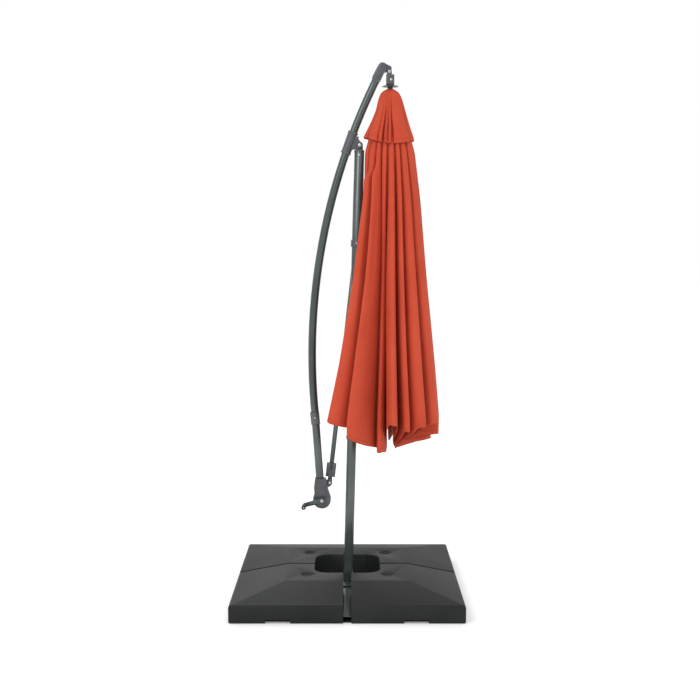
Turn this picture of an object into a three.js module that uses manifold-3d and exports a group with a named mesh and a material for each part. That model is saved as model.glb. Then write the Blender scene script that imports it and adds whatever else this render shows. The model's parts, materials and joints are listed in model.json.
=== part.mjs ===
// Cantilever parasol, closed. Millimetres, +Z up, +X from the bowed arm to the canopy,
// origin on the ground at the middle of the weighted base.
import * as THREE from "three";
import { mergeVertices } from "three/addons/utils/BufferGeometryUtils.js";
import Module from "manifold-3d";

// ---- driving dimensions ----
const GAP = 0.3; // clearance between pieces that touch
const BASE_HALF = 500, BASE_EDGE = 77, BASE_TOP = 118, PLATEAU = 275, WELL = 150;
const GAP_FRONT = 17.5, GAP_SIDE = 8; // half gaps between the weight plates
const POST_X0 = 2, POST_LEAN = 0.02575; // post axis: x = POST_X0 + POST_LEAN * z
const POST_R_LOW = 21.5, POST_R_UP = 22.5, POST_JOINT = 705, POST_TOP = 2000;
const ARC_C = [2627.8, 1083.1], ARC_R = 2787.8, ARM_R = 18, ARM_WALL = 2;
const SLEEVE_PIN = [54.7, 2029.4];
const STRUT_TOP = [41.5, 1592], EAR_PIN = [-82.1, 493.8], STRUT_Y = 35, STRUT_R = 11;
const CRANK = [-116.5, 422], HOUSING_R = 41, HOUSING_Y = 24;
const HUB_PIN = [187.5, 2351.1], HUB_X = 191;
const RIBS = 8;

const wasm = await Module();
wasm.setup();
const group = new THREE.Group();
const colours = {
  metal: [0x50565a, 0.45, 0.6], casting: [0x43484c, 0.5, 0.4], plastic: [0x2f3131, 0.8, 0],
  cap: [0x1f2021, 0.6, 0], steel: [0xb9bcc0, 0.3, 0.9], fabric: [0xb94533, 0.9, 0],
  rib: [0x2b2e30, 0.5, 0.5], cord: [0x222222, 0.9, 0],
};
const mats = Object.fromEntries(Object.entries(colours).map(([k, [c, r, m]]) =>
  [k, new THREE.MeshStandardMaterial({ color: c, roughness: r, metalness: m })]));

function solid(g) {
  const b = g.clone();
  for (const a of Object.keys(b.attributes)) if (a !== "position") b.deleteAttribute(a);
  const m = mergeVertices(b, 1e-3);
  const tri = [];
  const ix = m.index.array;
  for (let i = 0; i < ix.length; i += 3)
    if (ix[i] !== ix[i + 1] && ix[i + 1] !== ix[i + 2] && ix[i] !== ix[i + 2]) tri.push(ix[i], ix[i + 1], ix[i + 2]);
  return new wasm.Manifold(new wasm.Mesh({ numProp: 3, vertProperties: new Float32Array(m.attributes.position.array), triVerts: new Uint32Array(tri) }));
}
function add(name, m, mat) {
  const r = m.getMesh();
  const g = new THREE.BufferGeometry();
  g.setAttribute("position", new THREE.BufferAttribute(new Float32Array(r.vertProperties), 3));
  g.setIndex(new THREE.BufferAttribute(new Uint32Array(r.triVerts), 1));
  g.computeVertexNormals();
  const mesh = new THREE.Mesh(g, mats[mat]);
  mesh.name = name;
  group.add(mesh);
}
const V = (x, y, z) => new THREE.Vector3(x, y, z);
function cyl(p, q, r, n = 20, r2 = r) {
  const d = q.clone().sub(p);
  const g = new THREE.CylinderGeometry(r2, r, d.length(), n);
  g.applyQuaternion(new THREE.Quaternion().setFromUnitVectors(V(0, 1, 0), d.clone().normalize()));
  const c = p.clone().add(q).multiplyScalar(0.5);
  g.translate(c.x, c.y, c.z);
  return solid(g);
}
function tube(p, q, ro, ri, n = 20) {
  const d = q.clone().sub(p).normalize();
  return cyl(p, q, ro, n).subtract(cyl(p.clone().addScaledVector(d, -5), q.clone().addScaledVector(d, 5), ri, n));
}
const ycyl = (x, z, y0, y1, r, n = 16) => cyl(V(x, y0, z), V(x, y1, z), r, n);
function box(x0, x1, y0, y1, z0, z1) {
  const g = new THREE.BoxGeometry(x1 - x0, y1 - y0, z1 - z0);
  g.translate((x0 + x1) / 2, (y0 + y1) / 2, (z0 + z1) / 2);
  return solid(g);
}
// an outline in the X-Z plane, extruded along Y
function plateXZ(pts, y0, y1) {
  const s = new THREE.Shape(pts.map(([x, z]) => new THREE.Vector2(x, z)));
  const g = new THREE.ExtrudeGeometry(s, { depth: y1 - y0, bevelEnabled: false, steps: 1 });
  g.rotateX(Math.PI / 2);
  g.translate(0, y1, 0);
  return solid(g);
}
// closed skin through rings of equal point count, fanned at both ends
function loft(rings) {
  const n = rings[0].length, pos = [], idx = [];
  for (const r of rings) for (const p of r) pos.push(...p);
  for (let k = 0; k < rings.length - 1; k++)
    for (let i = 0; i < n; i++) {
      const a = k * n + i, b = k * n + ((i + 1) % n), c = a + n, d = b + n;
      idx.push(a, b, d, a, d, c);
    }
  const cap = (k, up) => {
    const m = rings[k].reduce((s, p) => [s[0] + p[0] / n, s[1] + p[1] / n, s[2] + p[2] / n], [0, 0, 0]);
    const ci = pos.length / 3;
    pos.push(...m);
    for (let i = 0; i < n; i++) {
      const a = k * n + i, b = k * n + ((i + 1) % n);
      up ? idx.push(a, b, ci) : idx.push(b, a, ci);
    }
  };
  cap(0, false);
  cap(rings.length - 1, true);
  const g = new THREE.BufferGeometry();
  g.setAttribute("position", new THREE.BufferAttribute(new Float32Array(pos), 3));
  g.setIndex(idx);
  return solid(g);
}
const ring = (z, x0, x1, y0, y1, n = 24) => Array.from({ length: n }, (_, i) => {
  const a = (2 * Math.PI * i) / n;
  return [(x0 + x1) / 2 + ((x1 - x0) / 2) * Math.cos(a), (y0 + y1) / 2 + ((y1 - y0) / 2) * Math.sin(a), z];
});
const square = (z, h) => [[-h, -h, z], [h, -h, z], [h, h, z], [-h, h, z]];

// ---- weighted base: four plates around a cross foot ----
const pyramid = loft([square(0, BASE_HALF - 4), square(6, BASE_HALF), square(BASE_EDGE - 7, BASE_HALF), square(BASE_EDGE, BASE_HALF - 8), square(BASE_TOP, PLATEAU)]);
const wellPts = [];
for (const [sx, sy] of [[1, 1], [-1, 1], [-1, -1], [1, -1]])
  for (let k = 0; k <= 3; k++) {
    const base = Math.atan2(sy, sx) - Math.PI / 4, a = base + (Math.PI / 2) * (k / 3);
    wellPts.push([sx * (WELL - 62) + 62 * Math.cos(a), sy * (WELL - 62) + 62 * Math.sin(a)]);
  }
const wellCut = (off, z0, z1) => loft([z0, z1].map((z) => wellPts.map(([x, y]) => [x * (1 + off / WELL), y * (1 + off / WELL), z])));
const CAP_XY = [180, 180];
for (const [nm, sx, sy] of [["front_left", -1, -1], ["front_right", 1, -1], ["rear_left", -1, 1], ["rear_right", 1, 1]]) {
  const X = (a, b) => (sx > 0 ? [a, b] : [-b, -a]), Y = (a, b) => (sy > 0 ? [a, b] : [-b, -a]);
  let p = pyramid.intersect(box(...X(GAP_FRONT, 600), ...Y(GAP_SIDE, 600), -10, 200));
  p = p.subtract(wellCut(0, -5, 200));
  p = p.subtract(box(...X(0, 28.5), ...Y(0, 490), -5, 31)).subtract(box(...X(0, 490), ...Y(0, 28.5), -5, 31)); // rail channels
  p = p.subtract(box(...X(240, 345), ...Y(470, 520), -5, 16)).subtract(box(...X(470, 520), ...Y(240, 345), -5, 16)); // hand holds
  const cx = sx * CAP_XY[0], cy = sy * CAP_XY[1];
  p = p.subtract(cyl(V(cx, cy, 92), V(cx, cy, 200), 31, 24));
  add("weight_plate_" + nm, p, "plastic");
  let c = cyl(V(cx, cy, 92.3), V(cx, cy, 115), 30, 24).subtract(cyl(V(cx, cy, 101), V(cx, cy, 130), 25, 20));
  c = c.add(box(cx - 25.5, cx + 25.5, cy - 4, cy + 4, 98, 112));
  add("fill_cap_" + nm, c, "cap");
}
add("foot_rail_long", box(-25, 25, -484, 484, 0, 28).subtract(box(-21, 21, -500, 500, 3, 25)), "metal");
for (const [nm, s] of [["left", -1], ["right", 1]]) {
  const X = s > 0 ? [25.3, 484] : [-484, -25.3];
  add("foot_rail_" + nm, box(...X, -25, 25, 0, 28).subtract(box(X[0] - 5, X[1] + 5, -21, 21, 3, 25)), "metal");
}
let flange = cyl(V(0, 0, 28.3), V(0, 0, 36), 78, 32).add(cyl(V(POST_X0 + 0.9, 0, 35), V(POST_X0 + POST_LEAN * 150, 0, 150), 19.1, 20));
for (const [x, y] of [[0, -58], [58, 0], [0, 58], [-58, 0]])
  flange = flange.add(cyl(V(x, y, 35), V(x, y, 39), 12, 16)).add(cyl(V(x, y, 38.5), V(x, y, 46), 8.5, 6));
add("post_foot_flange", flange, "metal");

// ---- post ----
const post = (z) => V(POST_X0 + POST_LEAN * z, 0, z);
add("post_lower", tube(post(36.8), post(POST_JOINT), POST_R_LOW, 19.5), "metal");
add("post_upper", tube(post(POST_JOINT + 0.4), post(POST_TOP), POST_R_UP, 20.5), "metal");
add("post_joint_spigot", tube(post(630), post(790), 19.1, 16.5), "casting");
add("post_stop_ring", tube(post(700), post(716), 25.5, 22.9), "casting");
let cap = cyl(post(POST_TOP + 0.4), post(POST_TOP + 8), POST_R_UP, 20).add(cyl(post(1960), post(POST_TOP + 2), 20.1, 20));
cap = cap.add(plateXZ([[38, 2006], [70, 2006], [70, 2030], [64, 2041], [46, 2041], [38, 2030]], -8, 8)).subtract(ycyl(...SLEEVE_PIN, -20, 20, 4.3));
add("post_cap", cap, "casting");
add("post_cap_screw", ycyl(post(1985).x, 1985, -25.5, -22.9, 4.5, 12), "steel");

// ---- bowed arm ----
const arc = (z, r = ARC_R) => { const s = (z - ARC_C[1]) / ARC_R; return V(ARC_C[0] - r * Math.sqrt(1 - s * s), 0, ARC_C[1] + r * s); };
function arcTube(z0, z1, ro, ri, steps, n = 16) {
  const pts = Array.from({ length: steps + 1 }, (_, i) => arc(z0 + ((z1 - z0) * i) / steps));
  const path = new THREE.CatmullRomCurve3(pts);
  const circ = (r) => Array.from({ length: n }, (_, i) => new THREE.Vector2(r * Math.cos((2 * Math.PI * i) / n), r * Math.sin((2 * Math.PI * i) / n)));
  const mk = (r) => solid(new THREE.ExtrudeGeometry(new THREE.Shape(circ(r)), { steps, extrudePath: path, bevelEnabled: false, curveSegments: 1 }));
  if (!ri) return mk(ro);
  const sh = new THREE.Shape(circ(ro));
  sh.holes.push(new THREE.Path(circ(ri).reverse()));
  return solid(new THREE.ExtrudeGeometry(sh, { steps, extrudePath: path, bevelEnabled: false, curveSegments: 1 }));
}
add("arm_upper_tube", arcTube(799, 2350, ARM_R, ARM_R - ARM_WALL, 26), "metal");
const lowA = V(-146.1, 0, 796.5), lowB = V(-123.6, 0, 480);
add("arm_lower_tube", tube(lowA, lowB, ARM_R, ARM_R - ARM_WALL, 16), "metal");
const colA = V(-150.2, 0, 826), colB = V(-144.6, 0, 769);
add("arm_joint_collar", cyl(colA, colB, 21, 20).subtract(arcTube(780, 860, 18.6, 0, 4)).subtract(cyl(lowA.clone().addScaledVector(lowB.clone().sub(lowA), -0.03), lowB, 18.6, 16)), "casting");
add("arm_joint_screw", ycyl(-148, 800, -23.5, -21.3, 3.6, 12), "steel");

// sleeve that carries the arm on top of the post
const tz = arc(2045).sub(arc(2034)).normalize(), sc = arc(2039.5);
const S = (t) => sc.clone().addScaledVector(tz, t);
let sleeve = cyl(S(-51), S(51), 22, 24).add(cyl(S(-51), S(-45), 23.6, 24)).add(cyl(S(45), S(51), 23.6, 24));
const ear = [[20, 2085], [41, 2070], [57, 2046], [68, 2038], [70, 2030], [67, 2020], [56, 2014], [38, 2013], [12, 2008], [2, 2020]];
sleeve = sleeve.add(plateXZ(ear, 8.6, 14)).add(plateXZ(ear, -14, -8.6));
sleeve = sleeve.subtract(arcTube(1940, 2140, 18.6, 0, 12)).subtract(ycyl(...SLEEVE_PIN, -30, 30, 4.3));
add("arm_sleeve", sleeve, "casting");
const pin = (x, z, y0, y1, r = 4, h = 7) => ycyl(x, z, y0, y1, r, 14).add(ycyl(x, z, y0 - 3, y0 + 0.001, h, 14)).add(ycyl(x, z, y1 - 0.001, y1 + 3, h, 14));
add("sleeve_pin", pin(...SLEEVE_PIN, -14.3, 14.3), "steel");
const out = V(tz.z, 0, -tz.x), K = (t, r) => S(t).addScaledVector(out, r);
add("sleeve_lock_knob", cyl(K(36, 22.4), K(36, 26), 3.2, 12).add(cyl(K(36, 25.9), K(36, 31), 5.2, 12)), "casting");

// elbow on the arm's upper end, with the pulley of the lift cord
const elbowOut = [[111, 2328], [130, 2366], [143, 2386], [150, 2390.5], [160, 2390.5], [190, 2377], [197, 2372], [197, 2362], [186, 2353], [174, 2351], [165, 2350], [146, 2309], [127, 2302], [108, 2309]];
let elbow = plateXZ(elbowOut, -21, 21).subtract(arcTube(2280, 2352, 18.4, 0, 5));
elbow = elbow.subtract(box(171, 220, -40, -11.7, 2300, 2420)).subtract(box(171, 220, 11.7, 40, 2300, 2420));
elbow = elbow.add(ycyl(...HUB_PIN, -11.7, 11.7, 9, 16)).subtract(ycyl(...HUB_PIN, -20, 20, 4.3));
elbow = elbow.subtract(ycyl(157, 2366, -5, 5, 13, 20)).subtract(box(132, 157, -5, 5, 2335, 2372));
for (const [x, z] of [[152.3, 2376], [136.8, 2336.6]]) elbow = elbow.add(ycyl(x, z, -23.2, -20.5, 3.6, 12));
add("arm_elbow", elbow, "casting");
add("elbow_pulley", ycyl(157, 2366, -4, 4, 11, 20), "cap");

// crank housing: two half shells around the cord spool
const hc = CRANK, neck = [[-148, 520], [-100, 517], [-96, 505], [-90, 470], [-80, 440], [-150, 436], [-153, 480]];
let body = (y0, y1) => ycyl(...hc, y0, y1, HOUSING_R, 28).add(plateXZ(neck, y0, y1));
const bore = cyl(V(-128, 0, 540), V(-121, 0, 445), 18.5, 20), stop = box(-170, -60, -30, 30, 380, 478);
const cavity = ycyl(...hc, -18, 18, 34, 24);
const throat = cyl(V(-124, 0, 490), V(-120.5, 0, 430), 14, 16);
const shell = (y0, y1) => body(y0, y1).subtract(cavity).subtract(cyl(V(-128.2, 0, 545), V(-123.25, 0, 475.5), 18.7, 20)).subtract(throat).subtract(ycyl(...hc, -40, 40, 6.4, 16));
let front = shell(-HOUSING_Y, -0.2);
for (const [x, z] of [[-124, 500], [-140, 440], [-94, 440]]) front = front.add(ycyl(x, z, -26.2, -23.5, 3.4, 12));
add("crank_housing_front", front, "casting");
let rear = shell(0.2, HOUSING_Y).subtract(ycyl(...EAR_PIN, -40, 60, 4.3, 14));
const lug = [[-110, 505], [-84, 508], [-72, 500], [-69, 491], [-75, 481], [-92, 470]];
rear = rear.add(plateXZ(lug, 12, HOUSING_Y).subtract(cyl(V(-128.2, 0, 545), V(-123.25, 0, 475.5), 18.7, 20)).subtract(cavity)).subtract(ycyl(...EAR_PIN, -40, 60, 4.3, 14));
add("crank_housing_rear", rear, "casting");
add("cord_spool", ycyl(...hc, -17, -14, 30, 24).add(ycyl(...hc, -14.5, 14.5, 15, 20)).add(ycyl(...hc, 14, 17, 30, 24)).subtract(ycyl(...hc, -30, 30, 6.3, 16)), "cap");
add("crank_shaft", ycyl(...hc, -40, 30, 6, 16).subtract(box(-140, -90, 24.4, 26, 400, 440).subtract(ycyl(...hc, 20, 30, 4.5, 16))), "steel");
let carm = plateXZ([[-108, 431], [-104, 422], [-108, 412], [-120, 410], [-196, 392], [-204, 395], [-206, 403], [-200, 410], [-121, 434]], -46, -40.3);
carm = carm.add(ycyl(...hc, -46, -40.3, 13, 20)).add(tube(V(hc[0], -41, hc[1]), V(hc[0], -28, hc[1]), 11, 6.4, 16)).subtract(ycyl(-198, 401, -60, -20, 3.4, 12));
add("crank_arm", carm, "steel");
add("crank_nut", ycyl(...hc, -52, -46.3, 8, 6), "steel");
add("crank_grip_pin", ycyl(-198, 401, -96, -38, 3, 12).add(ycyl(-198, 401, -38, -35.5, 6, 12)), "steel");
add("crank_grip", cyl(V(-198, -92, 401), V(-198, -46.5, 401), 10.5, 18, 9).subtract(ycyl(-198, 401, -110, -30, 3.5, 12)), "cap");

// lift cord inside the arm
const route = [V(-117.5, 0, 440), V(-121, 0, 480), V(-128, 0, 560), V(-137, 0, 680), V(-146, 0, 800)];
for (let i = 1; i <= 12; i++) route.push(arc(800 + (1505 * i) / 12));
route.push(V(139.6, 0, 2345), V(143.6, 0, 2362));
const cp = new THREE.CatmullRomCurve3(route);
const cs = new THREE.Shape(Array.from({ length: 6 }, (_, i) => new THREE.Vector2(1.8 * Math.cos(i * Math.PI / 3), 1.8 * Math.sin(i * Math.PI / 3))));
add("lift_cord", solid(new THREE.ExtrudeGeometry(cs, { steps: 44, extrudePath: cp, bevelEnabled: false, curveSegments: 1 })), "cord");

// ---- strut and its collar on the post ----
const cz = STRUT_TOP[1];
let collar = cyl(post(cz - 16), post(cz + 16), 27, 24).add(box(30, 56, 10, 26.5, cz - 13, cz + 13)).subtract(cyl(post(cz - 40), post(cz + 40), 23, 24)).subtract(ycyl(...STRUT_TOP, 10, 40, 4.3, 14));
add("strut_collar", collar, "casting");
add("collar_screw", ycyl(STRUT_TOP[0], cz, -29.6, -27.3, 4.2, 12), "steel");
const st = V(STRUT_TOP[0], STRUT_Y, cz), sb = V(EAR_PIN[0], STRUT_Y, EAR_PIN[1]);
const sd = sb.clone().sub(st).normalize(), SP = (t) => st.clone().addScaledVector(sd, t), L = sb.distanceTo(st);
add("strut_tube", tube(SP(30), SP(L - 60), STRUT_R, STRUT_R - 1.6, 14), "metal");
add("strut_eye", ycyl(...STRUT_TOP, STRUT_Y - 7, STRUT_Y + 7, 13, 18).add(cyl(SP(8), SP(29.7), 7, 14)).add(cyl(SP(24), SP(60), 8, 14)).subtract(ycyl(...STRUT_TOP, 0, 60, 4.3, 14)), "casting");
add("strut_top_bolt", ycyl(...STRUT_TOP, 24, 42.3, 4, 14).add(ycyl(...STRUT_TOP, 42.3, 46, 7.5, 6)), "steel");
// end block, slotted for the ear pin
const nx = V(-sd.z, 0, sd.x), blk = (a, b) => { const p = SP(a).addScaledVector(nx, b); return [p.x, p.z]; };
let eb = plateXZ([blk(L - 88, -22), blk(L - 88, 22), blk(L - 26, 22), blk(L - 26, -22)], STRUT_Y - 10.3, STRUT_Y + 13);
eb = eb.subtract(cyl(SP(L - 100), SP(L - 59.5), STRUT_R + 0.4, 16));
eb = eb.add(plateXZ([blk(L - 30, -9), blk(L - 30, 9), blk(L + 4, 12), blk(L + 17, 5), blk(L + 17, -5), blk(L + 4, -12)], STRUT_Y - 10.3, STRUT_Y - 2));
const slot = (r) => ycyl(SP(L - 7).x, SP(L - 7).z, 0, 60, r, 14).add(ycyl(SP(L + 7).x, SP(L + 7).z, 0, 60, r, 14)).add(plateXZ([blk(L - 7, -r), blk(L - 7, r), blk(L + 7, r), blk(L + 7, -r)], 0, 60));
add("strut_end_block", eb.subtract(slot(5.4)), "casting");
add("ear_pin", ycyl(...EAR_PIN, 11.7, 33.4, 4, 14).add(ycyl(...EAR_PIN, 33.4, 36.5, 8.5, 14)).add(ycyl(...EAR_PIN, 8.5, 11.7, 6.5, 14)), "steel");

// ---- canopy hub ----
let yoke = box(173, 209, -18, 18, 2296, 2339);
for (const s of [-1, 1]) yoke = yoke.add(plateXZ([[177, 2338], [198, 2338], [198, 2354], [194, 2360], [181, 2360], [177, 2354]], s > 0 ? 12.1 : -18, s > 0 ? 18 : -12.1));
add("hub_yoke", yoke.subtract(ycyl(...HUB_PIN, -30, 30, 4.3)).subtract(ycyl(HUB_X + 4, 2316, -30, -10, 3.4, 12)), "casting");
add("hub_pin", pin(...HUB_PIN, -18.3, 18.3, 4, 6.5), "steel");
add("hub_screw", ycyl(HUB_X + 4, 2316, -21, -12, 3, 12).add(ycyl(HUB_X + 4, 2316, -21.5, -18.3, 5, 12)), "steel");
add("hub_plate", cyl(V(HUB_X, 0, 2287), V(HUB_X, 0, 2291), 38, 28, 30).add(cyl(V(HUB_X, 0, 2290), V(HUB_X, 0, 2295.7), 15, 20)), "casting");
add("canopy_rod", tube(V(HUB_X, 0, 1560), V(HUB_X, 0, 2286.6), 12, 10, 16), "metal");
add("rib_hub", tube(V(HUB_X, 0, 2188), V(HUB_X, 0, 2208), 20, 12.4, 24), "cap");
let runner = tube(V(HUB_X, 0, 1600), V(HUB_X, 0, 1640), 20, 12.4, 24);
for (let k = 0; k < RIBS; k++) {
  const a = (Math.PI / 8) * (2 * k + 1), c = Math.cos(a), s = Math.sin(a);
  const P = (r, z) => V(HUB_X + r * c, r * s, z);
  const bar = (p, q, w, t) => {
    const d = q.clone().sub(p), g = new THREE.BoxGeometry(w, t, d.length());
    g.applyQuaternion(new THREE.Quaternion().setFromUnitVectors(V(0, 0, 1), d.clone().normalize()));
    const m = p.clone().add(q).multiplyScalar(0.5);
    g.translate(m.x, m.y, m.z);
    return solid(g);
  };
  add("rib_" + (k + 1), bar(P(26, 2196), P(88, 830), 9, 9), "rib");
  runner = runner.add(bar(P(17, 1622), P(23, 1960), 6, 6)); // stay
}
add("runner_with_stays", runner, "rib");

// ---- canopy: a folded skin, hollow and open below, that passes in front of the post ----
const inset = (r, d) => r.map(([z, x0, x1, y0, y1]) => [z, x0 + d, x1 - d, y0 + d, y1 - d]);
const vent = [[2040, 64, 309, -112, 112], [2062, 66, 306, -110, 110], [2097, 86, 291, -100, 100], [2141, 108, 276, -84, 84], [2185, 126, 262, -68, 68], [2229, 136, 248, -56, 56], [2262, 150, 232, -40, 40], [2273, 166, 216, -25, 25]];
const toRings = (r) => r.map((q) => ring(...q, 24));
const rodHole = cyl(V(HUB_X, 0, 2100), V(HUB_X, 0, 2400), 13, 16);
const main = [[700, -62, 405, -270, 200], [811, -100, 428, -275, 205], [1064, -45, 404, -235, 185], [1427, 19, 365, -185, 150], [1787, 66, 331, -140, 125], [2000, 76, 303, -108, 104], [2080, 102, 279, -84, 84], [2180, 134, 248, -57, 57], [2225, 148, 234, -42, 42]];
const notch = (d) => box(-300, 84 + d, -46 - d, 400, 500, 1660 + d).add(cyl(post(1600), post(2012 + d), 25 + d, 24));
let skin = loft(toRings(main)).subtract(notch(0));
let hollow = loft(toRings(inset([[690, -62, 405, -270, 200], ...main.slice(1, -1), [2217, 146, 236, -44, 44]], 9))).subtract(notch(9));
add("canopy_skin", skin.subtract(hollow).subtract(rodHole), "fabric");
const ventIn = [[2030, 70, 303, -106, 106], ...inset(vent.slice(1, -1), 6), [2266, 172, 210, -19, 19]];
const pivotRoom = box(0, 79, -27, 27, 2000, 2055);
add("canopy_vent", loft(toRings(vent)).subtract(loft(toRings(ventIn))).subtract(rodHole).subtract(pivotRoom), "fabric");

export default group;
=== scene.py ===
import bpy, math, json, random
import numpy as np
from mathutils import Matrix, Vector


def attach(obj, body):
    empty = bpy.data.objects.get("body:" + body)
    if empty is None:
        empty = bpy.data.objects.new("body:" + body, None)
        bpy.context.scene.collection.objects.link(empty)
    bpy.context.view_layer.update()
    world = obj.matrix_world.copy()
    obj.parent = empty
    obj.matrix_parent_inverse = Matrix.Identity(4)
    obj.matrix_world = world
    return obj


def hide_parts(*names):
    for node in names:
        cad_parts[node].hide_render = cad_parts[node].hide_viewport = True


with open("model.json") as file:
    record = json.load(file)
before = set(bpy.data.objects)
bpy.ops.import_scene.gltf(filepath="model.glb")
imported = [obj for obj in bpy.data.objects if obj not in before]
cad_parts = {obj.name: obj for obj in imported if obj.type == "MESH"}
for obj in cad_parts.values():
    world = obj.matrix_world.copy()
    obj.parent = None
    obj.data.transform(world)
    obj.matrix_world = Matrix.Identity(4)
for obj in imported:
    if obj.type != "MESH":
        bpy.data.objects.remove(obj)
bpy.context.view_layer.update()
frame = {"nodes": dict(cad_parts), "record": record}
scene = bpy.context.scene

# ------------------------------------------------------------ camera and stage
cam_data = bpy.data.cameras.new("camera")
cam_data.sensor_width = 36.0
cam_data.lens = 1134.58 / 700 * 36.0
cam_data.clip_end = 100
cam = bpy.data.objects.new("camera", cam_data)
scene.collection.objects.link(cam)
cam.location = (0.01219, -5.13974, 1.58428)
cam.rotation_euler = (math.pi / 2 - 0.09211, 0, 0)
scene.camera = cam
scene.view_settings.view_transform = "Standard"

world = bpy.data.worlds.new("studio")
scene.world = world
world.use_nodes = True
bg = world.node_tree.nodes["Background"]
bg.inputs[0].default_value = (1, 1, 1, 1)
bg.inputs[1].default_value = 1.0


def new_object(name, verts, faces, smooth=True):
    me = bpy.data.meshes.new(name)
    me.from_pydata([tuple(v) for v in verts], [], faces)
    me.validate()
    me.update()
    if smooth:
        me.polygons.foreach_set("use_smooth", [True] * len(me.polygons))
    o = bpy.data.objects.new(name, me)
    scene.collection.objects.link(o)
    return o


floor = new_object("floor", [(-30, -12, -0.0005), (30, -12, -0.0005), (30, 40, -0.0005), (-30, 40, -0.0005)], [(0, 1, 2, 3)], False)


def area_light(name, loc, target, size, power):
    d = bpy.data.lights.new(name, "AREA")
    d.shape = "SQUARE"
    d.size = size
    d.energy = power
    o = bpy.data.objects.new(name, d)
    o.location = loc
    o.rotation_euler = (Vector(target) - Vector(loc)).to_track_quat("-Z", "Y").to_euler()
    scene.collection.objects.link(o)


area_light("key", (-2.6, -4.2, 4.2), (0.1, 0, 1.3), 2.2, 95)
area_light("fill", (3.6, -3.6, 2.4), (0.1, 0, 1.2), 2.6, 22)
area_light("rim", (-1.5, 3.5, 3.6), (0.1, 0, 1.4), 2.0, 35)


# ------------------------------------------------------------ materials
def material(name, color, rough, metal=0.0):
    m = bpy.data.materials.new(name)
    m.use_nodes = True
    nt = m.node_tree
    b = nt.nodes["Principled BSDF"]
    b.inputs["Base Color"].default_value = (*color, 1)
    b.inputs["Roughness"].default_value = rough
    b.inputs["Metallic"].default_value = metal
    return m, nt, b


def node(nt, kind, **kw):
    n = nt.nodes.new(kind)
    for k, v in kw.items():
        setattr(n, k, v)
    return n


def mottled(name, dark, light, rough, metal=0.0, scale=6.0, grain=900.0, bump=0.05, rough_var=0.1, edge_wear_and_highlight=None, stretch=(1, 1, 1), coat=0.0):
    """Colour that varies softly over the piece, a fine moulded or sprayed grain, and paler sharp edges, partly worn
    and partly a painted highlight.
    """
    m, nt, b = material(name, dark, rough, metal)
    L = nt.links.new
    tc = node(nt, "ShaderNodeTexCoord")
    mp = node(nt, "ShaderNodeMapping")
    mp.inputs["Scale"].default_value = stretch
    L(tc.outputs["Object"], mp.inputs["Vector"])
    n1 = node(nt, "ShaderNodeTexNoise")
    n1.inputs["Scale"].default_value = scale
    n1.inputs["Detail"].default_value = 6
    L(mp.outputs[0], n1.inputs["Vector"])
    ramp = node(nt, "ShaderNodeValToRGB")
    ramp.color_ramp.elements[0].position = 0.32
    ramp.color_ramp.elements[1].position = 0.7
    ramp.color_ramp.elements[0].color = (*dark, 1)
    ramp.color_ramp.elements[1].color = (*light, 1)
    L(n1.outputs["Fac"], ramp.inputs[0])
    col = ramp.outputs[0]
    # paler colour on sharp, pointy edges: partly edge wear, partly a painted highlight along the edges
    if edge_wear_and_highlight:
        geo = node(nt, "ShaderNodeNewGeometry")
        pr = node(nt, "ShaderNodeMapRange")
        pr.inputs[1].default_value = 0.52
        pr.inputs[2].default_value = 0.62
        L(geo.outputs["Pointiness"], pr.inputs[0])
        mix = node(nt, "ShaderNodeMix", data_type="RGBA")
        mul = node(nt, "ShaderNodeMath", operation="MULTIPLY")
        L(pr.outputs[0], mul.inputs[0])
        L(n1.outputs["Fac"], mul.inputs[1])
        L(mul.outputs[0], mix.inputs[0])
        L(col, mix.inputs[6])
        mix.inputs[7].default_value = (*edge_wear_and_highlight, 1)
        col = mix.outputs[2]
    L(col, b.inputs["Base Color"])
    rr = node(nt, "ShaderNodeMapRange")
    rr.inputs[3].default_value = max(0.05, rough - rough_var)
    rr.inputs[4].default_value = min(1, rough + rough_var)
    L(n1.outputs["Fac"], rr.inputs[0])
    L(rr.outputs[0], b.inputs["Roughness"])
    n2 = node(nt, "ShaderNodeTexNoise")
    n2.inputs["Scale"].default_value = grain
    n2.inputs["Detail"].default_value = 3
    L(mp.outputs[0], n2.inputs["Vector"])
    bp = node(nt, "ShaderNodeBump")
    bp.inputs["Strength"].default_value = bump
    bp.inputs["Distance"].default_value = 0.0006
    L(n2.outputs["Fac"], bp.inputs["Height"])
    L(bp.outputs[0], b.inputs["Normal"])
    if coat:
        b.inputs["Coat Weight"].default_value = coat
    return m


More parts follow.
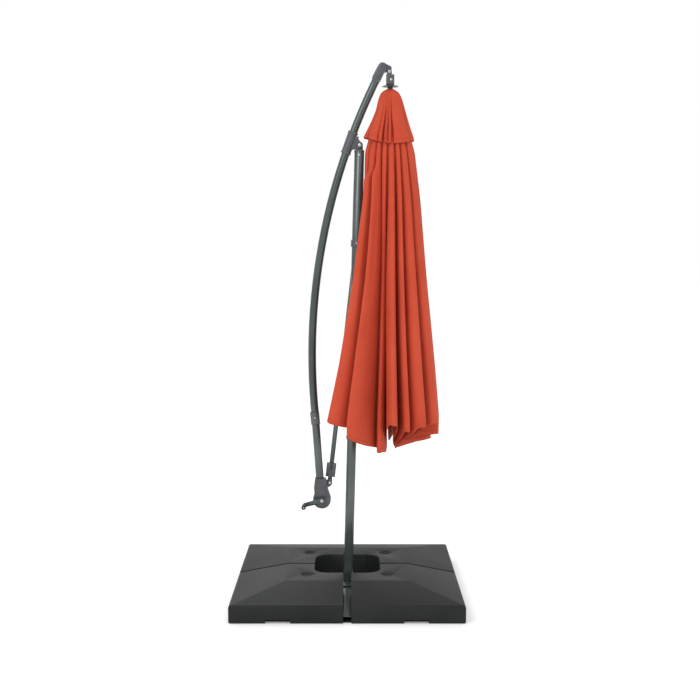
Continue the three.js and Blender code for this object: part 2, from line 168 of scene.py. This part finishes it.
def fabric(name, seam_every=None):
    """Plain-woven polyester: two sets of threads, a soft heathered tone and a stitched hem line, laid out in metres on the cloth's own UV."""
    m, nt, b = material(name, (0.56, 0.072, 0.036), 0.82)
    L = nt.links.new
    b.inputs["Sheen Weight"].default_value = 0.10
    b.inputs["Sheen Roughness"].default_value = 0.5
    b.inputs["Sheen Tint"].default_value = (0.75, 0.22, 0.14, 1)
    b.inputs["Specular IOR Level"].default_value = 0.25
    uv = node(nt, "ShaderNodeUVMap")
    uv.uv_map = "cloth"
    sep = node(nt, "ShaderNodeSeparateXYZ")
    L(uv.outputs[0], sep.inputs[0])

    def threads(axis_out, k):
        mu = node(nt, "ShaderNodeMath", operation="MULTIPLY")
        mu.inputs[1].default_value = k
        L(axis_out, mu.inputs[0])
        s = node(nt, "ShaderNodeMath", operation="SINE")
        L(mu.outputs[0], s.inputs[0])
        a = node(nt, "ShaderNodeMath", operation="ABSOLUTE")
        L(s.outputs[0], a.inputs[0])
        return a.outputs[0]

    tx, ty = threads(sep.outputs[0], math.pi / 0.0011), threads(sep.outputs[1], math.pi / 0.0013)
    mx = node(nt, "ShaderNodeMath", operation="MAXIMUM")
    L(tx, mx.inputs[0])
    L(ty, mx.inputs[1])
    noise = node(nt, "ShaderNodeTexNoise")
    noise.inputs["Scale"].default_value = 5
    noise.inputs["Detail"].default_value = 5
    tc = node(nt, "ShaderNodeTexCoord")
    L(tc.outputs["Object"], noise.inputs["Vector"])
    heath = node(nt, "ShaderNodeTexNoise")
    heath.inputs["Scale"].default_value = 1.0
    heath.inputs["Detail"].default_value = 2
    mp = node(nt, "ShaderNodeMapping")
    mp.inputs["Scale"].default_value = (700, 60, 1)
    L(uv.outputs[0], mp.inputs["Vector"])
    L(mp.outputs[0], heath.inputs["Vector"])
    ramp = node(nt, "ShaderNodeValToRGB")
    e = ramp.color_ramp.elements
    e[0].position, e[1].position = 0.3, 0.72
    e[0].color = (0.43, 0.046, 0.0180, 1)
    e[1].color = (0.55, 0.074, 0.034, 1)
    add = node(nt, "ShaderNodeMix", data_type="FLOAT")
    add.inputs[0].default_value = 0.45
    L(noise.outputs["Fac"], add.inputs[2])
    L(heath.outputs["Fac"], add.inputs[3])
    L(add.outputs[0], ramp.inputs[0])
    # stitched hem: darker line of thread 18 mm above the edge; UV y is the distance from the edge
    def band(at, half):
        su = node(nt, "ShaderNodeMath", operation="SUBTRACT")
        su.inputs[1].default_value = at
        L(sep.outputs[1], su.inputs[0])
        ab = node(nt, "ShaderNodeMath", operation="ABSOLUTE")
        L(su.outputs[0], ab.inputs[0])
        lt = node(nt, "ShaderNodeMath", operation="LESS_THAN")
        lt.inputs[1].default_value = half
        L(ab.outputs[0], lt.inputs[0])
        return lt.outputs[0]

    stitch = node(nt, "ShaderNodeMath", operation="MULTIPLY")
    L(band(0.018, 0.0011), stitch.inputs[0])
    dash = node(nt, "ShaderNodeMath", operation="MULTIPLY")
    dash.inputs[1].default_value = 2 * math.pi / 0.005
    L(sep.outputs[0], dash.inputs[0])
    dsin = node(nt, "ShaderNodeMath", operation="SINE")
    L(dash.outputs[0], dsin.inputs[0])
    dgt = node(nt, "ShaderNodeMath", operation="GREATER_THAN")
    dgt.inputs[1].default_value = -0.3
    L(dsin.outputs[0], dgt.inputs[0])
    L(dgt.outputs[0], stitch.inputs[1])
    mixc = node(nt, "ShaderNodeMix", data_type="RGBA")
    L(stitch.outputs[0], mixc.inputs[0])
    L(ramp.outputs[0], mixc.inputs[6])
    mixc.inputs[7].default_value = (0.26, 0.026, 0.014, 1)
    # seams where the panels meet: UV x is the distance along the hem's full length
    seam = node(nt, "ShaderNodeMath", operation="PINGPONG")
    L(node_attr(nt, "panel"), seam.inputs[0])
    seam.inputs[1].default_value = 0.5
    sl = node(nt, "ShaderNodeMath", operation="LESS_THAN")
    sl.inputs[1].default_value = 0.012
    L(seam.outputs[0], sl.inputs[0])
    mixs = node(nt, "ShaderNodeMix", data_type="RGBA")
    ms = node(nt, "ShaderNodeMath", operation="MULTIPLY")
    ms.inputs[1].default_value = 0.45
    L(sl.outputs[0], ms.inputs[0])
    L(ms.outputs[0], mixs.inputs[0])
    L(mixc.outputs[2], mixs.inputs[6])
    mixs.inputs[7].default_value = (0.3, 0.03, 0.016, 1)
    L(mixs.outputs[2], b.inputs["Base Color"])
    h = node(nt, "ShaderNodeMath", operation="ADD")
    hb = node(nt, "ShaderNodeMath", operation="LESS_THAN")
    hb.inputs[1].default_value = 0.02
    L(sep.outputs[1], hb.inputs[0])
    hm = node(nt, "ShaderNodeMath", operation="MULTIPLY")
    hm.inputs[1].default_value = 1.5
    L(hb.outputs[0], hm.inputs[0])
    L(mx.outputs[0], h.inputs[0])
    L(hm.outputs[0], h.inputs[1])
    bp = node(nt, "ShaderNodeBump")
    bp.inputs["Strength"].default_value = 0.35
    bp.inputs["Distance"].default_value = 0.0005
    L(h.outputs[0], bp.inputs["Height"])
    # soft crumples
    cr = node(nt, "ShaderNodeTexNoise")
    cr.inputs["Scale"].default_value = 1.0
    cr.inputs["Detail"].default_value = 4
    mc = node(nt, "ShaderNodeMapping")
    mc.inputs["Scale"].default_value = (16, 16, 5)
    L(tc.outputs["Object"], mc.inputs["Vector"])
    L(mc.outputs[0], cr.inputs["Vector"])
    bp2 = node(nt, "ShaderNodeBump")
    bp2.inputs["Strength"].default_value = 0.35
    bp2.inputs["Distance"].default_value = 0.012
    L(cr.outputs["Fac"], bp2.inputs["Height"])
    L(bp.outputs[0], bp2.inputs["Normal"])
    L(bp2.outputs[0], b.inputs["Normal"])
    return m


def node_attr(nt, name):
    a = nt.nodes.new("ShaderNodeAttribute")
    a.attribute_name = name
    return a.outputs["Fac"]


# the tenth argument in each row is the paler edge colour: partly edge wear, partly a painted highlight
M = {
    "metal": mottled("frame_paint", (0.040, 0.054, 0.056), (0.060, 0.078, 0.080), 0.30, 0.45, 5, 1400, 0.12, 0.07, (0.2, 0.22, 0.22), coat=0.15),
    "casting": mottled("casting", (0.048, 0.052, 0.058), (0.075, 0.081, 0.088), 0.42, 0.15, 22, 1100, 0.3, 0.12, (0.17, 0.18, 0.19)),
    "base": mottled("base_plastic", (0.0075, 0.0085, 0.0085), (0.0125, 0.0135, 0.0135), 0.55, 0.0, 4, 700, 0.35, 0.1, (0.03, 0.033, 0.033)),
    "cap": mottled("cap_plastic", (0.012, 0.012, 0.013), (0.024, 0.024, 0.025), 0.5, 0.0, 14, 900, 0.25, 0.1, (0.07, 0.07, 0.07)),
    "steel": mottled("bright_steel", (0.42, 0.42, 0.43), (0.62, 0.62, 0.63), 0.28, 0.95, 30, 500, 0.08, 0.1, None, (1, 1, 12)),
    "rib": mottled("rib_paint", (0.018, 0.019, 0.02), (0.035, 0.036, 0.038), 0.45, 0.3, 12, 900, 0.1, 0.1),
    "cord": mottled("cord_fibre", (0.015, 0.015, 0.015), (0.05, 0.05, 0.05), 0.9, 0, 200, 1800, 0.6, 0.05),
    "fabric": fabric("canopy_cloth"),
}
M["base"].node_tree.nodes["Principled BSDF"].inputs["Specular IOR Level"].default_value = 0.2
floor_mat = mottled("floor_paper", (0.86, 0.86, 0.86), (0.9, 0.9, 0.9), 0.9, 0, 1, 200, 0.02, 0.02)
paper = floor_mat.node_tree.nodes["Principled BSDF"]
paper.inputs["Emission Color"].default_value = (1, 1, 1, 1)
paper.inputs["Emission Strength"].default_value = 0.14
floor.data.materials.append(floor_mat)

SLOT_MAT = {"frame_metal": "metal", "joint_casting": "casting", "base_plastic": "base", "cap_plastic": "cap", "bright_steel": "steel", "rib_metal": "rib", "canopy_fabric": "fabric", "cord_fibre": "cord"}
BEVEL = {"base_plastic": 0.0045, "cap_plastic": 0.0008, "joint_casting": 0.0011, "frame_metal": 0.0006, "bright_steel": 0.0005, "rib_metal": 0.0006}
slot_of = {s["node"]: s["material_slot"] for s in frame["record"]["subparts"]}
for name, o in frame["nodes"].items():
    if name in ("canopy_skin", "canopy_vent"):
        continue
    slot = slot_of[name]
    o.data.materials.clear()
    o.data.materials.append(M[SLOT_MAT[slot]])
    if slot != "cord_fibre":
        o.data.polygons.foreach_set("use_smooth", [True] * len(o.data.polygons))
        weld = o.modifiers.new("weld", "WELD")
        weld.merge_threshold = 0.00002
        bev = o.modifiers.new("edge", "BEVEL")
        bev.width = BEVEL.get(slot, 0.0006)
        bev.segments = 2
        bev.limit_method = "ANGLE"
        bev.angle_limit = math.radians(32)
        bev.use_clamp_overlap = True
        bev.harden_normals = True
        if slot == "base_plastic":
            bev.angle_limit = math.radians(9)


# ------------------------------------------------------------ canopy cloth
AX = 0.191  # the canopy hangs round this x, y = 0


def table_at(rows, z):
    zs = [r[0] for r in rows]
    return [float(np.interp(z, zs, [r[i] for r in rows])) for i in range(1, 5)]


# height, left, right, front, back, in metres
SKIN = [(0.62, -0.100, 0.424, -0.270, 0.200), (0.811, -0.099, 0.427, -0.268, 0.200), (1.064, -0.045, 0.403, -0.232, 0.182), (1.427, 0.019, 0.364, -0.183, 0.148),
        (1.787, 0.067, 0.330, -0.138, 0.123), (2.000, 0.078, 0.302, -0.106, 0.102), (2.080, 0.104, 0.277, -0.082, 0.082), (2.180, 0.136, 0.246, -0.055, 0.055), (2.223, 0.150, 0.232, -0.040, 0.040)]


def boundary(rows, a, z, notch=True):
    """How far the cloth reaches from the hub's axis at angle a, kept off the post and the strut."""
    x0, x1, y0, y1 = table_at(rows, z)
    cx, cy, ax, ay = (x0 + x1) / 2 - AX, (y0 + y1) / 2, (x1 - x0) / 2, (y1 - y0) / 2
    c, s = math.cos(a), math.sin(a)
    A = (c / ax) ** 2 + (s / ay) ** 2
    B = -2 * (c * cx / ax ** 2 + s * cy / ay ** 2)
    C = (cx / ax) ** 2 + (cy / ay) ** 2 - 1
    r = (-B + math.sqrt(max(B * B - 4 * A * C, 0))) / (2 * A)
    if notch and z < 1.9 and c < 0 and s < 0:
        deg = math.degrees(a) % 360
        w = max(0.0, min(1.0, (243 - deg) / 26))
        r = r * (1 - w) + w * (AX - x0) / max(-c, 0.5)
    if notch and c < 0:
        post_x = 0.002 + 0.02575 * z
        wall = min(0.090 + 0.0, post_x + 0.048) if z > 1.5 else 0.090
        if z > 1.66:
            wall = post_x + 0.0262
        reach = (AX - wall) / -c
        if s >= 0 or reach * -s < 0.052:
            r = min(r, max(reach, 0.02))
    return r


def smooth(x, a, b):
    t = min(1, max(0, (x - a) / (b - a)))
    return t * t * (3 - 2 * t)


D2R = math.pi / 180


def cloth(name, rows, top, hem, lobes, depth_of, z_mat_top, per_lobe=14, levels=54, notch=True, phase=0.0, panels=8, recess={}, chord=0.55, gather=0.02):
    """One folded sheet: broad outer faces divided by deep, narrow creases that run from the hub to the hem."""
    ang = []  # (angle, depth share 0 outside to 1 at the crease's foot, lobe number)
    for k, (a0, a1, lean) in enumerate(lobes):
        for j in range(per_lobe):
            t = j / per_lobe
            w = a1 - a0
            # along the profile: crease wall out, broad face, crease wall in
            g = min(0.24, 4.2 * D2R / w)
            if t < 0.28:
                u = t / 0.28
                ang.append((a0 + w * g * u, 1 - u, k, t))
            elif t < 0.72:
                u = (t - 0.28) / 0.44
                ang.append((a0 + w * (g + (1 - 2 * g) * u), 0.0, k, t))
            else:
                u = (t - 0.72) / 0.28
                ang.append((a0 + w * (1 - g + g * u), u, k, t))
    n = len(ang)
    rng = np.random.RandomState(7)
    wob = rng.uniform(-1, 1, (len(lobes), 6))
    verts, uvs, pan = [], [], []
    for i in range(levels + 1):
        f = i / levels  # 0 at the top
        for (a, d, k, t) in ang:
            a_ = a
            zh = hem(a, k, d)
            z = top + (zh - top) * f
            lean = lobes[k][2]
            g = min(1.0, f * 2.2)
            # creases wander and lean a little on the way down
            a_ += math.radians(3.2) * wob[k, 0] * math.sin(2.1 * math.pi * f + 6 * wob[k, 1]) * g * (0.35 + 0.65 * d)
            a_ += lean * d * f
            R = boundary(rows, a_ + phase, z, notch)
            u = (t - 0.28) / 0.44
            half = (lobes[k][1] - lobes[k][0]) / 2
            back = recess.get(k, 0.0) * smooth(f, 0.05, 0.5)
            if d == 0:
                # a broad face: part way from the round outline to a flat chord, with a slack wave
                flat_ = math.cos(half) / math.cos(min(half, abs((2 * u - 1) * half)))
                r = R * (1 - chord * g * (1 - flat_) * 0.6)
                r *= 1 - 0.05 * g * smooth(abs(2 * u - 1), 0.3, 1.0)
                r *= 1 - 0.022 * g * (0.5 + 0.5 * math.sin((2.2 + wob[k, 4]) * math.pi * u + 5 * wob[k, 3] + 2.5 * f)) - 0.02 * (2 * u - 1) ** 4 * g
                r *= 1 - back
            else:
                D = depth_of(f, k)
                r = R * (1 + chord * g * (math.cos(half) * 0.5 - 0.5)) * (1 - 0.03 * g) * (1 - back) * (1 - D * (d * d * (3 - 2 * d) * 0.6 + d * 0.4))
            # small gathers just under the hub or the vent
            r *= 1 + gather * math.exp(-5 * f) * math.sin(41 * a_ + 3 * wob[k, 5])
            r = max(r, 0.0135)
            verts.append((AX + r * math.cos(a_ + phase), r * math.sin(a_ + phase), z))
            pan.append(((a) / (2 * math.pi) * panels) % 1.0)
    faces = []
    for i in range(levels):
        for j in range(n):
            a, b = i * n + j, i * n + (j + 1) % n
            faces.append((a, a + n, b + n, b))
    o = new_object(name, verts, faces)
    me = o.data
    co = np.array(verts).reshape(levels + 1, n, 3)
    seg = np.linalg.norm(np.diff(np.concatenate([co, co[:, :1]], 1), axis=1), axis=2)
    along = np.concatenate([np.zeros(1), np.cumsum(seg[-1])])
    down = np.linalg.norm(np.diff(co, axis=0), axis=2)
    rest = np.concatenate([np.cumsum(down[::-1], 0)[::-1], np.zeros((1, n))], 0)
    uvl = me.uv_layers.new(name="cloth")
    loop_uv = np.zeros((len(me.loops), 2))
    for p in me.polygons:
        ids = [me.loops[l].vertex_index for l in p.loop_indices]
        js = [v % n for v in ids]
        wrap = (0 in js) and (n - 1 in js)
        for l, v in zip(p.loop_indices, ids):
            i, j = divmod(v, n)
            loop_uv[l] = (along[n] if (wrap and j == 0) else along[j], rest[i, j])
    uvl.data.foreach_set("uv", loop_uv.ravel())
    at = me.attributes.new("panel", "FLOAT", "POINT")
    at.data.foreach_set("value", np.array(pan, np.float32))
    me.materials.append(M["fabric"])
    sub = o.modifiers.new("smooth", "SUBSURF")
    sub.levels = sub.render_levels = 1
    th = o.modifiers.new("thickness", "SOLIDIFY")
    th.thickness = 0.0014
    th.offset = 0
    return o, n


# lobes round the canopy: start, end (degrees, 270 faces the camera) and how far the crease leans
edges = [-12, 14, 36, 58, 84, 105, 127, 149, 171, 190, 209, 231, 246, 263, 281, 296, 316, 348]
lean = [6, -5, 7, -6, 6, -5, 6, -5, 3, 0, 1, 2, -2, -4, 4, -3, 7]
LOBES = [(edges[i] * D2R, edges[i + 1] * D2R, lean[i] * D2R) for i in range(len(edges) - 1)]
# how far each lobe's lower edge hangs, and which lobes fall back behind their neighbours
HEM = {12: 0.680, 13: 0.806, 14: 0.780, 15: 0.790, 16: 0.800, 0: 0.735, 1: 0.700}
RECESS = {12: 0.30, 14: 0.07}


def hem_skin(a, k, d):
    deg = a / D2R
    lob = LOBES[k]
    t = (a - lob[0]) / (lob[1] - lob[0])
    if k == 9:
        z = 0.835 + 0.005 * t
    elif k == 10:  # the long slanting edge at the left
        z = 0.840 - 0.050 * t
    elif k == 11:
        z = 0.790 - 0.095 * t
    elif k == 13:
        z = HEM[k] - 0.010 * t
    elif k == 15:
        z = 0.780 + 0.010 * t
    elif k == 16:
        z = 0.790 + 0.012 * t
    elif k in HEM:
        z = HEM[k] - 0.012 * math.sin(math.pi * t)
    else:
        z = 0.705 + 0.03 * math.sin(k * 2.3) + 0.02 * math.sin(6.28 * t)
    return z - (0.11 * d if k in (13, 14, 15, 16) else 0.03 * d)


skin, _ = cloth("canopy_cloth_main", SKIN, 2.223, hem_skin, LOBES, lambda f, k: (0.09 + 0.24 * smooth(f, 0.0, 0.35) + 0.38 * smooth(f, 0.45, 1.0)) if k in (10, 11, 12, 13, 14, 15) else 0.12 + 0.76 * smooth(f, 0.0, 0.4), 2.2, recess=RECESS)
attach(skin, "canopy")
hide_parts("canopy_skin")

VENT = [(2.010, 0.066, 0.308, -0.112, 0.112), (2.035, 0.068, 0.308, -0.111, 0.111), (2.062, 0.069, 0.304, -0.109, 0.109), (2.097, 0.087, 0.290, -0.099, 0.099), (2.141, 0.109, 0.275, -0.083, 0.083), (2.185, 0.127, 0.261, -0.067, 0.067),
        (2.229, 0.137, 0.247, -0.055, 0.055), (2.262, 0.151, 0.231, -0.039, 0.039), (2.2725, 0.170, 0.212, -0.021, 0.021), (2.276, 0.178, 0.204, -0.013, 0.013)]
vedges = [-15, 38, 80, 118, 150, 178, 203, 238, 252, 263, 273, 330, 345]
vlean = [5, -5, 6, -4, 3, -3, 3, -4, 5, -4, 3, -5]
VLOBES = [(vedges[i] * D2R, vedges[i + 1] * D2R, vlean[i] * D2R) for i in range(len(vedges) - 1)]


def hem_vent(a, k, d):
    deg = a / D2R
    side = abs(math.cos(a))
    z = 2.030 + 0.026 * side ** 2 + (0.006 if math.cos(a) < 0 else -0.006) * side
    if 150 < deg < 215:
        z = max(z, 2.060)
    return z - 0.010 * d


vent, _ = cloth("canopy_cloth_vent", VENT, 2.276, hem_vent, VLOBES, lambda f, k: 0.04 + 0.24 * smooth(f, 0.15, 0.8), 2.27, per_lobe=14, levels=24, notch=False, panels=8)
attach(vent, "canopy")
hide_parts("canopy_vent")


def area_of(o):
    me = o.data
    return sum(p.area for p in me.polygons)


print("CLOTH AREAS", area_of(skin), area_of(vent))
